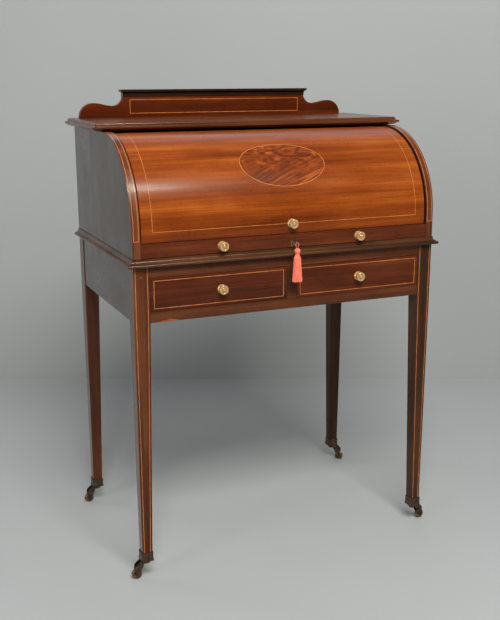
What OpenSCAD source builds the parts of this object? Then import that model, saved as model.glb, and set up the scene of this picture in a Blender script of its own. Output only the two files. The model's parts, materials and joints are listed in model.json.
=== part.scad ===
// Cylinder ("roll top") writing desk on a two-drawer stand with tapered legs and casters.
// Origin: middle of the base on the floor. +Z is up, the front faces -Y. Millimetres.

/* [Case] */
// Width over the side panels
case_w = 760; // [700:5:820]
// Depth from the front edge of the side panels to the back
case_d = 482; // [470:2:520]
// Thickness of a side panel
panel_t = 18.5; // [16:0.5:20]
// Radius of the curved front edge of a side panel
arch_r = 202; // [195:1:205]
// Height of the arch centre above the case floor
arch_lift = 57; // [55:1:60]
// Thickness of the top board
top_t = 20; // [18:1:24]
// How far the top board stands back from the front of the case
top_setback = 228; // [224:1:232]

/* [Stand] */
// Height of the stand, from the floor to the top of the legs
stand_h = 742; // [700:2:760]
// Width of a leg at the apron
leg_w = 37; // [34:1:40]
// Width of a leg at its foot
foot_w = 23.6; // [22:0.2:26]
// Taper of the two outer faces of a leg
outer_taper = 2.5; // [0:0.5:4]
// Height of the aprons
apron_h = 125.5; // [120:0.5:130]
// Height of the waist, which is the case floor and its moulding
waist_h = 18; // [18:1:22]
// How far the waist moulding stands out
waist_out = 12.6; // [11:0.2:14]

/* [Cylinder] */
// Step from the arch edge in to the face of the cylinder
fall_step = 4; // [3:0.5:6]
// Thickness of the curved fall
fall_t = 12; // [10:1:14]
// Gap between each end of the cylinder and the side panel
fall_end_gap = 3.5; // [2:0.5:5]
// Angle of the hidden back edge of the fall, measured up from the front
fall_back_angle = 98; // [94:1:100]

/* [Writing slide] */
// Height of the slide front
slide_h = 31; // [30:1:33]
// Thickness of the slide front
slide_front_t = 18; // [18:1:20]
// Thickness of the sliding board
slide_t = 14; // [12:1:15]
// Distance of each slide knob and drawer knob from the middle
knob_x = 173; // [160:1:185]
// Height of the keyhole above the case floor
key_lift = 12; // [11:0.5:13]

/* [Drawers] */
// Height of a drawer front
drawer_h = 74.4; // [72:0.2:76]
// Thickness of a drawer front
drawer_front_t = 18; // [16:1:20]
// Depth of a drawer box behind its front
drawer_d = 373; // [300:1:380]
// Width of the upright between the drawers
divider_w = 24.4; // [20:0.2:30]

/* [Gallery] */
// Height of the gallery board above the top
gallery_h = 51; // [48:1:56]
// Half of the gallery's length at its foot
gallery_half = 368.5; // [360:0.5:372]
// Half of the gallery's length at its neck, under the cornice
neck_half = 255; // [240:1:262]
// Thickness of the gallery board
gallery_t = 16; // [12:1:18]
// Height of the gallery cornice
cornice_h = 18; // [16:1:20]

/* [Casters] */
// Radius of a caster wheel
wheel_r = 12; // [11:0.5:13]
// Width of a caster wheel
wheel_w = 9; // [8:0.5:10]
// Distance from the swivel to the axle
trail = 24; // [22:0.5:25]
// Height of the bottom of the cup
cup_z = 44; // [42:1:48]
// Width of the cup at its flared foot
cup_foot_w = 28.6; // [27:0.2:28.6]

/* [Hidden] */

$fn = 64;
clear = 0.5;
// Hairline between boards that meet but are separate pieces
board_gap = 0.05;
housing_d = 2;

// Key: the bow reaches furthest forward, so it sets where the middle of the depth is
bow_r = 6.4;
bow_wire_r = 1.1;
key_out = 25;
front_y = -(case_d - key_out) / 2;
back_y = front_y + case_d;

half_w = case_w / 2;
inner_x = half_w - panel_t;
floor_z = stand_h;
case_z = floor_z + waist_h;
arch_z = case_z + arch_lift;
arch_y = front_y + arch_r;
top_z = arch_z + arch_r;
top_face_z = top_z + top_t;
top_front_y = front_y + top_setback;

fall_r = arch_r - fall_step;
fall_in_r = fall_r - fall_t;
fall_half = inner_x - fall_end_gap;
slide_z = case_z + 1;
slide_top_z = slide_z + slide_h;
fall_edge_z = slide_top_z + 0.8;
pivot_r = 4;
pivot_depth = 12;
pivot_collar_r = 9;
run_gap = 0.05;
quadrant_t = 12;
knob_fall_z = arch_z - 1.5;

key_z = case_z + key_lift;
bit_y = front_y + 10.6;
bit_w = 3.6;

bearer_t = 7.5;
board_z = case_z + bearer_t + clear;
board_back_y = front_y + 446;
leather_t = 1.4;
leather_sink = 1;
bed_gap = 2.1;
bed_z = board_z + slide_t + leather_t - leather_sink + bed_gap;
bed_t = 6;
fit_z = bed_z + bed_t;
fit_front_y = front_y + 166;
fit_back_y = fit_front_y + 171;
fit_top_z = fit_z + 140.5;
fit_half = 334;
fit_t = 8;
thin_t = 6;
bay_x = 110;
outer_bay_x = 220;
shelf_z = fit_z + 40;
back_t = 10;
back_in_y = back_y - back_t - 2;

rail_z = stand_h - apron_h;
apron_t = 18;
apron_inset = 1.5;
drawer_z = rail_z + 25;
drawer_top_z = drawer_z + drawer_h;
drawer_in_x = divider_w / 2 + 0.8;
drawer_out_x = half_w - leg_w - 0.8;
box_side_t = 9;
box_gap = 2;
box_h = 65;
box_bottom_t = 5;
runner_h = 10;
rail_d = 40;

foot_z = cup_z + 4;
foot_x = half_w - outer_taper - foot_w / 2;
foot_front_y = front_y + outer_taper + foot_w / 2;
foot_back_y = back_y - outer_taper - foot_w / 2;
cup_h = 22;
stem_r = 3;
axle_r = 2;
horn_top_z = cup_z - 0.3;
horn_t = 6.7;
horn_z = horn_top_z - horn_t;
cheek_in = wheel_w / 2 + 0.7;
cheek_t = 2;
// Which way each wheel trails, in degrees: front left, front right, back left, back right
trail_angles = [180, 8, 182, -41];

tassel_y = front_y - 27.5;
tassel_z = key_z - 9;
cord_d = 1.2;
// Route of the tassel cord: up from the head on the right, in through the bow and
// out again on the left, so that it rings the outermost point of the bow's wire
cord_points = [
    [1.6, tassel_y, tassel_z - 22],
    [1.6, tassel_y, tassel_z - 18],
    [1.6, tassel_y, tassel_z - 14],
    [1.6, tassel_y, tassel_z - 10],
    [1.6, tassel_y, tassel_z - 6],
    [1.6, tassel_y, tassel_z - 3],
    [1.6, tassel_y, tassel_z - 1.5],
    [1.8, tassel_y, tassel_z + 0.8],
    [2.3, tassel_y - 0.2, tassel_z + 3.2],
    [2.9, tassel_y - 0.1, tassel_z + 5.6],
    [3.4, tassel_y + 0.4, tassel_z + 7.9],
    [3.6, tassel_y + 1.6, tassel_z + 10],
    [3.1, tassel_y + 3.4, tassel_z + 11.3],
    [2, tassel_y + 5, tassel_z + 11],
    [1, tassel_y + 5.9, tassel_z + 10],
    [0, tassel_y + 6.2, tassel_z + 9],
    [-1, tassel_y + 5.9, tassel_z + 8.1],
    [-2, tassel_y + 5, tassel_z + 7.1],
    [-2.9, tassel_y + 3.6, tassel_z + 6.1],
    [-3.3, tassel_y + 2, tassel_z + 5],
    [-3, tassel_y + 0.8, tassel_z + 3.4],
    [-2.4, tassel_y + 0.2, tassel_z + 1.6],
    [-1.8, tassel_y, tassel_z],
    [-1.6, tassel_y, tassel_z - 1.5],
    [-1.6, tassel_y, tassel_z - 3],
    [-1.6, tassel_y, tassel_z - 6],
    [-1.6, tassel_y, tassel_z - 10],
    [-1.6, tassel_y, tassel_z - 14],
    [-1.6, tassel_y, tassel_z - 18],
    [-1.6, tassel_y, tassel_z - 22]
];

mahogany = "#6b2f14";
dark_mahogany = "#43200f";
fall_wood = "#9a4a17";
pine = "#c79a63";
brass = "#c9a660";
bronze = "#4a3826";
steel = "#8a8a86";
hide = "#3d5a3a";
coral = "#e8705c";

// ---- helpers ----

// A box between two corners
module block(lo, hi) {
    translate(lo) cube(hi - lo);
}

// A flat shape drawn in (y, z), with its thickness along X from x0
module yz_plate(x0, t) {
    translate([x0, 0, 0]) rotate([90, 0, 90]) linear_extrude(t) children();
}

// A flat shape drawn in (x, z), with its thickness along Y from y0
module xz_plate(y0, t) {
    translate([0, y0 + t, 0]) rotate([90, 0, 0]) linear_extrude(t) children();
}

// The children, and their mirror image across the middle of the desk
module both_sides() {
    children();
    mirror([1, 0, 0]) children();
}

// The children on the left (side -1) or on the right (side 1)
module on_side(side) {
    mirror([side < 0 ? 1 : 0, 0, 0]) children();
}

// Points along an arc of a circle
function arc(cx, cy, r, from, to, steps) =
    [for (i = [0:steps]) let (a = from + (to - from) * i / steps) [cx + r * cos(a), cy + r * sin(a)]];

function last(list) = list[len(list) - 1];

// A list of points, last one first
function backwards(list) = [for (i = [len(list) - 1:-1:0]) list[i]];

// A board with one moulding along its front and both ends, mitred at the corners.
// profile is a list of [projection, z] from the bottom up.
module moulded_board(half, y0, y1, profile) {
    reach = 40;
    intersection() {
        yz_plate(-half - reach, 2 * (half + reach)) polygon(concat(
            [for (p = profile) [y0 - p[0], p[1]]],
            [[y1, last(profile)[1]], [y1, profile[0][1]]]
        ));
        xz_plate(y0 - reach, y1 - y0 + reach) polygon(concat(
            [for (p = profile) [half + p[0], p[1]]],
            [for (p = backwards(profile)) [-half - p[0], p[1]]]
        ));
    }
}

// A turned brass knob on a round rose. Its axis is +Z and its back is at z = 0.
module turned_knob() {
    rotate_extrude() polygon([
        [0, 0], [10.8, 0], [11, 1.4], [10.4, 3], [9, 4.4], [8.2, 6], [8, 8.4], [8.4, 10.2],
        [9.6, 11.6], [10.7, 13], [11, 14.6], [10.6, 15.9], [9.6, 16.9], [8.2, 17.3],
        [7, 16.9], [6.2, 16], [5.4, 15.1], [4.4, 14.9], [3.6, 15.4], [3.3, 17],
        [2.5, 18.3], [1.3, 18.9], [0, 19.1]
    ]);
}

// A turned knob that faces the front, with its back at y
module front_knob(x, y, z) {
    translate([x, y, z]) rotate([90, 0, 0]) turned_knob();
}

// ---- stand ----

// Straight to the bottom of the apron, then tapered on all four faces, most on the inner two
module leg(side, at_back) {
    outer_x = half_w;
    inner_edge_x = outer_x - leg_w;
    foot_outer_x = outer_x - outer_taper;
    outer_y = at_back ? back_y : front_y;
    inward = at_back ? -1 : 1;
    color(mahogany) on_side(side) intersection() {
        xz_plate(front_y - 1, case_d + 2) polygon([
            [outer_x, stand_h], [outer_x, rail_z], [foot_outer_x, foot_z],
            [foot_outer_x - foot_w, foot_z], [inner_edge_x, rail_z], [inner_edge_x, stand_h]
        ]);
        yz_plate(inner_edge_x - 1, leg_w + 2) polygon([
            [outer_y, stand_h], [outer_y, rail_z],
            [outer_y + inward * outer_taper, foot_z],
            [outer_y + inward * (outer_taper + foot_w), foot_z],
            [outer_y + inward * leg_w, rail_z], [outer_y + inward * leg_w, stand_h]
        ]);
    }
}

module leg_front_left() { leg(-1, false); }
module leg_front_right() { leg(1, false); }
module leg_back_left() { leg(-1, true); }
module leg_back_right() { leg(1, true); }

module side_apron(side) {
    outer = half_w - apron_inset;
    color(dark_mahogany) on_side(side) block(
        [outer - apron_t, front_y + leg_w, rail_z],
        [outer, back_y - leg_w, stand_h]
    );
}

module side_apron_left() { side_apron(-1); }
module side_apron_right() { side_apron(1); }

module back_apron() {
    outer = back_y - apron_inset;
    color(dark_mahogany) block(
        [leg_w - half_w, outer - apron_t, rail_z],
        [half_w - leg_w, outer, stand_h]
    );
}

module drawer_top_rail() {
    color(mahogany) block(
        [leg_w - half_w, front_y, drawer_top_z + 0.8],
        [half_w - leg_w, front_y + drawer_front_t, stand_h]
    );
}

module drawer_bottom_rail() {
    color(mahogany) block(
        [leg_w - half_w, front_y, rail_z],
        [half_w - leg_w, front_y + rail_d, drawer_z - 0.8]
    );
}

module drawer_divider() {
    color(mahogany) block(
        [-divider_w / 2, front_y, drawer_z - 0.8],
        [divider_w / 2, front_y + drawer_front_t, drawer_top_z + 0.8]
    );
}

// Bearers under the drawer sides, a guide between the drawers, and kickers above them
module drawer_runners() {
    run_y0 = front_y + rail_d;
    run_y1 = back_y - apron_inset - apron_t;
    side_y1 = back_y - leg_w;
    run_z = drawer_z - clear;
    kick_z = drawer_z + box_h + 4;
    side_x = half_w - apron_inset - apron_t;
    color(pine) {
        both_sides() {
            block([side_x - 30, run_y0, run_z - runner_h], [side_x, side_y1, run_z]);
            block([side_x - 30, run_y0, kick_z], [side_x, side_y1, kick_z + runner_h]);
        }
        block([-22, run_y0, run_z - runner_h], [22, run_y1, run_z]);
        block([-divider_w / 2, run_y0, run_z], [divider_w / 2, run_y1, run_z + 20]);
        block([-22, front_y + drawer_front_t, kick_z], [22, run_y1, kick_z + runner_h]);
    }
}

// ---- waist ----

module carcase_floor() {
    color(dark_mahogany) block([-half_w, front_y, floor_z], [half_w, back_y, case_z]);
}

waist_nose_r = 3.5;
waist_profile = concat(
    [[0, floor_z]],
    arc(waist_out - waist_nose_r, floor_z + waist_nose_r, waist_nose_r, -90, 90, 10),
    [[8, floor_z + 2 * waist_nose_r], [8, floor_z + 8.4]],
    arc(8, case_z - 3, 6, 270, 180, 6),
    [[2, case_z], [0, case_z]]
);

// Three lengths, mitred at the two front corners
module waist_moulding() {
    prism_h = waist_h + 2;
    color(mahogany) {
        intersection() {
            yz_plate(-half_w - 30, case_w + 60) polygon([for (p = waist_profile) [front_y - p[0], p[1]]]);
            translate([0, 0, floor_z - 1]) linear_extrude(prism_h) polygon([
                [-half_w, front_y], [half_w, front_y],
                [half_w + 20, front_y - 20], [-half_w - 20, front_y - 20]
            ]);
        }
        both_sides() intersection() {
            xz_plate(front_y - 30, case_d + 30) polygon([for (p = waist_profile) [half_w + p[0], p[1]]]);
            translate([0, 0, floor_z - 1]) linear_extrude(prism_h) polygon([
                [half_w, front_y + board_gap], [half_w + 20, front_y - 20 + board_gap],
                [half_w + 20, back_y + 1], [half_w, back_y + 1]
            ]);
        }
    }
}

// ---- case ----

// Outline of a side panel in (y, z): upright front edge, quarter circle, flat top
module side_outline() {
    intersection() {
        union() {
            translate([front_y, case_z]) square([case_d, arch_lift]);
            translate([arch_y, case_z]) square([back_y - arch_y, top_z - case_z]);
            translate([arch_y, arch_z]) circle(arch_r, $fn = 160);
        }
        translate([front_y, case_z]) square([case_d, top_z - case_z]);
    }
}

// The pivot hole is blind, from the inner face
module side_panel(side) {
    color(mahogany) on_side(side) difference() {
        yz_plate(inner_x, panel_t) side_outline();
        translate([inner_x - 1, arch_y, arch_z]) rotate([0, 90, 0])
            cylinder(h = pivot_depth + 1, r = pivot_r);
    }
}

module side_panel_left() { side_panel(-1); }
module side_panel_right() { side_panel(1); }

module back_panel() {
    color(dark_mahogany) block([-inner_x, back_in_y, case_z], [inner_x, back_in_y + back_t, top_z]);
}

// Slotted countersunk screws along the sides, top and bottom of the back panel
module back_panel_screws() {
    screw_z = [for (i = [0:2]) case_z + 30 + i * 99];
    screw_x = inner_x - 9;
    color(steel) for (side = [-1, 1], z = screw_z) translate([side * screw_x, back_in_y + back_t, z]) {
        rotate([-90, 0, 0]) difference() {
            cylinder(h = 0.8, r = 4);
            translate([-4, -0.5, 0.3]) cube([8, 1, 1]);
        }
    }
}

nose_low_z = top_face_z - 13;
nose_top_z = top_face_z - 8;
ovolo_r = 5.2;
top_profile = concat(
    [[0, top_z], [4, top_z], [9, top_z + 0.9], [14, top_z + 2.5], [18.4, nose_low_z - 2]],
    [[21.2, nose_low_z - 0.6], [23.2, nose_low_z], [23.7, nose_low_z + 0.8]],
    [[23.7, nose_top_z - 0.8], [23.2, nose_top_z], [16.4, nose_top_z + 1.2]],
    arc(11.2, top_face_z - ovolo_r, ovolo_r, 0, 70, 7),
    [[12.6, top_face_z]]
);

gallery_y = back_y - gallery_t;

// The gallery board stands in a shallow housing along the back
module top_board() {
    housing_x = gallery_half + board_gap;
    color(mahogany) difference() {
        moulded_board(half_w, top_front_y, back_y, top_profile);
        block(
            [-housing_x, gallery_y - board_gap, top_face_z - housing_d],
            [housing_x, back_y + 1, top_face_z + 1]
        );
    }
}

scroll_r = 36;
swoop_r = 26.7;
swoop_dip = 7.4;

// Right half of the gallery board's upper edge, from the foot to the neck
function scroll_edge() =
    let (
        lobe_x = gallery_half - scroll_r,
        swoop_x = neck_half + swoop_r,
        lobe_top = top_face_z + scroll_r
    )
    concat(
        arc(lobe_x, top_face_z, scroll_r, 0, 90, 14),
        [for (i = [1:9]) let (t = i / 10)
            [lobe_x + (swoop_x - lobe_x) * t, lobe_top - swoop_dip * (1 - cos(180 * t)) / 2]],
        arc(swoop_x, lobe_top - swoop_dip + swoop_r, swoop_r, 270, 190, 12)
    );

module gallery_board() {
    edge = concat(
        [[gallery_half, top_face_z - housing_d]],
        scroll_edge(),
        [[neck_half, top_face_z + gallery_h]]
    );
    color(mahogany) xz_plate(gallery_y, gallery_t) polygon(concat(
        edge,
        [for (p = backwards(edge)) [-p[0], p[1]]]
    ));
}

cornice_z = top_face_z + gallery_h;
cornice_profile = concat(
    [[0, cornice_z], [1.6, cornice_z], [1.6, cornice_z + 4]],
    arc(8, cornice_z + 6, 6.4, 180, 90, 8),
    [[7.6, cornice_z + cornice_h - 3.6], [7.6, cornice_z + cornice_h]]
);

module gallery_cornice() {
    color(dark_mahogany) moulded_board(neck_half, gallery_y, back_y, cornice_profile);
}

// Strips that the writing slide runs on
module slide_bearers() {
    color(pine) both_sides() block(
        [inner_x - 20, front_y + slide_front_t + 1, case_z],
        [inner_x, back_in_y, case_z + bearer_t]
    );
}

// Each pin sits in a side panel, with a collar in the gap beside the quadrant
module pivot_pins() {
    collar_t = fall_end_gap - 0.3;
    pin_x0 = fall_half - quadrant_t - 1;
    pin_x1 = inner_x + pivot_depth;
    color(steel) both_sides() translate([0, arch_y, arch_z]) rotate([0, 90, 0]) {
        translate([0, 0, pin_x0]) cylinder(h = pin_x1 - pin_x0, r = pivot_r);
        translate([0, 0, inner_x - collar_t]) cylinder(h = collar_t, r = pivot_collar_r);
    }
}

// ---- pigeonhole fitment ----

module fitment_floor() {
    color(dark_mahogany) block([-inner_x, fit_front_y, bed_z], [inner_x, back_in_y, bed_z + bed_t]);
}

module fitment_uprights() {
    uprights = [bay_x, outer_bay_x];
    color(pine) {
        both_sides() {
            block([fit_half - fit_t, fit_front_y, fit_z], [fit_half, fit_back_y - fit_t, fit_top_z - fit_t]);
            for (x = uprights) block(
                [x - thin_t / 2, fit_front_y, fit_z],
                [x + thin_t / 2, fit_back_y - fit_t, fit_top_z - fit_t]
            );
        }
        block([-thin_t / 2, fit_front_y, fit_z], [thin_t / 2, fit_back_y - fit_t, shelf_z]);
    }
}

module fitment_top() {
    color(mahogany) block([-fit_half, fit_front_y, fit_top_z - fit_t], [fit_half, fit_back_y, fit_top_z]);
}

module fitment_shelf() {
    edge_x = bay_x - thin_t / 2;
    color(mahogany) block([-edge_x, fit_front_y, shelf_z], [edge_x, fit_back_y - fit_t, shelf_z + thin_t]);
}

module fitment_back() {
    color(pine) block([-fit_half, fit_back_y - fit_t, fit_z], [fit_half, fit_back_y, fit_top_z - fit_t]);
}

// Front, sides, back and bottom in one solid, with its small knob as a second
module inner_drawer(side) {
    x0 = thin_t / 2 + clear;
    x1 = bay_x - thin_t / 2 - clear;
    z0 = fit_z + clear;
    z1 = shelf_z - clear;
    y1 = fit_front_y + 140;
    wall = 5;
    knob_z = (z0 + z1) / 2;
    on_side(side) {
        color(mahogany) difference() {
            block([x0, fit_front_y, z0], [x1, y1, z1]);
            block([x0 + wall, fit_front_y + 9, z0 + 3], [x1 - wall, y1 - wall, z1 + 1]);
        }
        knob_at = [(x0 + x1) / 2, fit_front_y - board_gap, knob_z];
        color(brass) translate(knob_at) rotate([90, 0, 0]) rotate_extrude()
            polygon([[0, 0], [4, 0], [2, 2], [2, 5], [5, 7], [5, 8.5], [3, 10], [0, 10.4]]);
    }
}

module inner_drawer_left() { inner_drawer(-1); }
module inner_drawer_right() { inner_drawer(1); }

// ---- cylinder ----

// The sector of the cylinder in (distance forward of the pivot, height above it)
module fall_sector() {
    far = 320;
    polygon([
        [0, fall_edge_z - arch_z], [far, fall_edge_z - arch_z], [far, far],
        [far * cos(fall_back_angle), far * sin(fall_back_angle)], [0, 0]
    ]);
}

// Places a shape drawn about the pivot in (forward, up), with its thickness along X from x0
module about_pivot(x0, t) {
    translate([x0, arch_y, arch_z]) mirror([0, 1, 0]) rotate([90, 0, 90]) linear_extrude(t) children();
}

strike_half = 20;
strike_t = 1.2;
bolt_half = 10;
bolt_t = 3.2;
bolt_y = bit_y + 0.2;

module cylinder_fall() {
    color(fall_wood) difference() {
        about_pivot(-fall_half, 2 * fall_half) intersection() {
            difference() {
                circle(fall_r, $fn = 180);
                circle(fall_in_r, $fn = 180);
            }
            fall_sector();
        }
        block(
            [-strike_half, front_y + 8, fall_edge_z - 1],
            [strike_half, front_y + 17, fall_edge_z + strike_t]
        );
        block(
            [-bolt_half - 1.5, bolt_y - 0.8, fall_edge_z - 1],
            [bolt_half + 1.5, bolt_y + bolt_t + 0.8, fall_edge_z + 10]
        );
    }
}

// The two solid end quadrants, which carry the fall and turn on the pivot pins
module cylinder_quadrants() {
    hub_r = 18;
    color(fall_wood) both_sides() about_pivot(fall_half - quadrant_t, quadrant_t) difference() {
        union() {
            intersection() {
                circle(fall_in_r, $fn = 180);
                fall_sector();
            }
            circle(hub_r);
        }
        circle(pivot_r + run_gap);
    }
}

module cylinder_knob() {
    color(brass) difference() {
        front_knob(0, front_y + fall_step + 0.3, knob_fall_z);
        about_pivot(-20, 40) circle(fall_r, $fn = 180);
    }
}

module strike_plate() {
    color(brass) difference() {
        block(
            [-strike_half, front_y + 8, fall_edge_z],
            [strike_half, front_y + 17, fall_edge_z + strike_t]
        );
        block(
            [-bolt_half - 1, bolt_y - 0.6, fall_edge_z - 1],
            [bolt_half + 1, bolt_y + bolt_t + 0.6, fall_edge_z + strike_t + 1]
        );
    }
}

// ---- writing slide ----

lock_half = 24;
lock_y = front_y + 8.2;
lock_d = 8.8;
lock_z = key_z - 8.5;
selvedge_half = 30;
selvedge_t = 2;
key_r = 2.2;
keyhole_r = 2.7;
keyslot_w = 2.8;
keyslot_h = 8;

module keyhole(y0, depth, grow) {
    xz_plate(y0, depth) union() {
        translate([0, key_z]) circle(keyhole_r + grow);
        translate([-keyslot_w / 2 - grow, key_z - keyslot_h - grow])
            square([keyslot_w + 2 * grow, keyslot_h]);
    }
}

module slide_front() {
    color(dark_mahogany) difference() {
        block([-inner_x + 0.8, front_y, slide_z], [inner_x - 0.8, front_y + slide_front_t, slide_top_z]);
        block([-lock_half, lock_y, lock_z], [lock_half, front_y + slide_front_t + 1, slide_top_z + 1]);
        block(
            [-selvedge_half, lock_y - 1.5, slide_top_z - selvedge_t],
            [selvedge_half, front_y + slide_front_t + 1, slide_top_z + 1]
        );
        keyhole(front_y - 1, 12, 0);
        keyhole(front_y - 1, 2.2, 0.9);
    }
}

// A brass thread let in flush round the keyhole
module escutcheon() {
    color(brass) difference() {
        keyhole(front_y - 0.2, 1.4, 0.9);
        keyhole(front_y - 1, 4, 0);
    }
}

module lock_case() {
    wall = 1.8;
    color(brass) difference() {
        union() {
            block([-lock_half, lock_y, lock_z], [lock_half, lock_y + lock_d, slide_top_z]);
            block(
                [-selvedge_half, lock_y - 1.5, slide_top_z - selvedge_t],
                [selvedge_half, lock_y + lock_d, slide_top_z]
            );
        }
        block(
            [-lock_half + wall, lock_y + wall, lock_z + wall / 2],
            [lock_half - wall, lock_y + lock_d - wall, slide_top_z - selvedge_t]
        );
        block(
            [-bolt_half - 0.4, bolt_y - 0.4, slide_top_z - selvedge_t - 1],
            [bolt_half + 0.4, bolt_y + bolt_t + 0.4, slide_top_z + 1]
        );
        keyhole(lock_y - 1, wall + 1.5, 0);
    }
}

// The bolt, with the foot that the key's bit lifts
module lock_bolt() {
    color(steel) union() {
        block([-bolt_half, bolt_y, key_z + 5], [bolt_half, bolt_y + bolt_t, slide_top_z - 0.3]);
        block([4.6, bolt_y, key_z - 5.5], [9, bolt_y + bolt_t, key_z + 6]);
    }
}

module slide_board() {
    color(mahogany) difference() {
        block(
            [-inner_x + 3, front_y + slide_front_t, board_z],
            [inner_x - 3, board_back_y, board_z + slide_t]
        );
        block(
            [-inner_x + 45, front_y + slide_front_t + 30, board_z + slide_t - leather_sink],
            [inner_x - 45, board_back_y - 120, board_z + slide_t + 1]
        );
    }
}

module slide_leather() {
    color(hide) block(
        [-inner_x + 45, front_y + slide_front_t + 30, board_z + slide_t - leather_sink],
        [inner_x - 45, board_back_y - 120, board_z + slide_t - leather_sink + leather_t]
    );
}

module slide_knobs() {
    color(brass) both_sides() front_knob(knob_x, front_y, slide_z + slide_h / 2);
}

// Shank along Y, ring bow in the (y, z) plane, bit pointing down
module key() {
    bow_y = front_y - key_out + bow_r + bow_wire_r;
    shank_y0 = bow_y + bow_r;
    color(steel) union() {
        translate([0, shank_y0, key_z]) rotate([-90, 0, 0])
            cylinder(h = bit_y + bit_w - shank_y0 + 0.3, r = key_r);
        translate([0, shank_y0 + 0.5, key_z]) rotate([-90, 0, 0]) cylinder(h = 2.4, r = 3.3);
        translate([0, bow_y, key_z]) rotate([0, 90, 0]) rotate_extrude()
            translate([bow_r, 0]) circle(bow_wire_r, $fn = 24);
        block([-1, bit_y, key_z - 7], [1, bit_y + bit_w, key_z]);
    }
}

// ---- tassel ----

function unit(v) = v / norm(v);
function direction(points, i) =
    unit(points[min(i + 1, len(points) - 1)] - points[max(i - 1, 0)]);

// A tube of radius r that follows a list of points
module tube(points, r, sides) {
    rings = [for (i = [0:len(points) - 1])
        let (
            d = direction(points, i),
            a = unit(cross(d, [0.2, 0.3, 1])),
            b = cross(d, a)
        )
        for (k = [0:sides - 1]) points[i] + r * (cos(360 * k / sides) * a + sin(360 * k / sides) * b)];
    count = len(points);
    polyhedron(rings, concat(
        [[for (k = [0:sides - 1]) k]],
        [[for (k = [sides - 1:-1:0]) (count - 1) * sides + k]],
        [for (i = [0:count - 2], k = [0:sides - 1], half = [0, 1])
            let (
                a = i * sides + k,
                b = i * sides + (k + 1) % sides
            )
            half == 0 ? [a, a + sides, b + sides] : [a, b + sides, b]]
    ));
}

module tassel_cord() {
    color(coral) tube(cord_points, cord_d / 2, 8);
}

// Round head, bound neck and a skirt of threads, turned as one solid
module tassel() {
    color(coral) translate([0, tassel_y, tassel_z]) rotate_extrude() polygon([
        [0, -0.5], [3.4, -0.9], [6.2, -2.8], [7.2, -6], [6.9, -9.2], [5.2, -12], [4.2, -14],
        [5.6, -16], [7.4, -19], [8.4, -25], [10.4, -50], [12, -72], [12, -78], [0, -78]
    ]);
}

// ---- drawers ----

module drawer_front(side) {
    color(dark_mahogany) on_side(side) block(
        [drawer_in_x, front_y, drawer_z],
        [drawer_out_x, front_y + drawer_front_t, drawer_top_z]
    );
}

// Two sides and a back, each a separate board
module drawer_box(side) {
    x0 = drawer_in_x + box_gap;
    x1 = drawer_out_x - box_gap;
    y0 = front_y + drawer_front_t;
    y1 = y0 + drawer_d;
    bottom_top_z = drawer_z + 4 + box_bottom_t;
    color(pine) on_side(side) {
        block([x0, y0, drawer_z], [x0 + box_side_t, y1, drawer_z + box_h]);
        block([x1 - box_side_t, y0, drawer_z], [x1, y1, drawer_z + box_h]);
        block(
            [x0 + box_side_t + board_gap, y1 - box_side_t, bottom_top_z],
            [x1 - box_side_t - board_gap, y1, drawer_z + box_h]
        );
    }
}

module drawer_bottom(side) {
    color(pine) on_side(side) block(
        [drawer_in_x + box_gap + box_side_t, front_y + drawer_front_t, drawer_z + 4],
        [
            drawer_out_x - box_gap - box_side_t,
            front_y + drawer_front_t + drawer_d,
            drawer_z + 4 + box_bottom_t
        ]
    );
}

module drawer_knob(side) {
    color(brass) on_side(side) front_knob(knob_x + 2, front_y, drawer_z + drawer_h / 2);
}

module drawer_left_front() { drawer_front(-1); }
module drawer_left_box() { drawer_box(-1); }
module drawer_left_bottom() { drawer_bottom(-1); }
module drawer_left_knob() { drawer_knob(-1); }
module drawer_right_front() { drawer_front(1); }
module drawer_right_box() { drawer_box(1); }
module drawer_right_bottom() { drawer_bottom(1); }
module drawer_right_knob() { drawer_knob(1); }

// ---- casters ----

// A square block whose width changes from w0 at z0 to w1 at z1
module square_taper(w0, z0, w1, z1) {
    outline = [[-w0 / 2, z0], [w0 / 2, z0], [w1 / 2, z1], [-w1 / 2, z1]];
    intersection() {
        xz_plate(-w0 - w1, 2 * (w0 + w1)) polygon(outline);
        yz_plate(-w0 - w1, 2 * (w0 + w1)) polygon(outline);
    }
}

// Square socket with a flared foot, and the riveted stem that the horn turns on
module caster_cup() {
    wall = 1.5;
    lip_z = cup_z + 3;
    leg_growth = (leg_w - foot_w) / (rail_z - foot_z);
    mouth_w = foot_w + cup_h * leg_growth;
    difference() {
        union() {
            square_taper(cup_foot_w, cup_z, cup_foot_w, lip_z);
            square_taper(cup_foot_w, lip_z, foot_w + 2 * wall, lip_z + 5);
            square_taper(foot_w + 2 * wall, lip_z + 4.9, mouth_w + 2 * wall, cup_z + cup_h);
        }
        square_taper(foot_w + 0.6, foot_z, mouth_w + 1.6, cup_z + cup_h + 2);
    }
    rivet_z = horn_z - 2.3;
    translate([0, 0, rivet_z]) cylinder(h = cup_z - rivet_z + 0.1, r = stem_r);
    translate([0, 0, rivet_z]) cylinder(h = 2, r = stem_r + 2);
}

module at_foot(side, at_back) {
    translate([side * foot_x, at_back ? foot_back_y : foot_front_y, 0]) children();
}

module caster_cups() {
    color(bronze) for (side = [-1, 1], at_back = [false, true]) at_foot(side, at_back) caster_cup();
}

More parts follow.
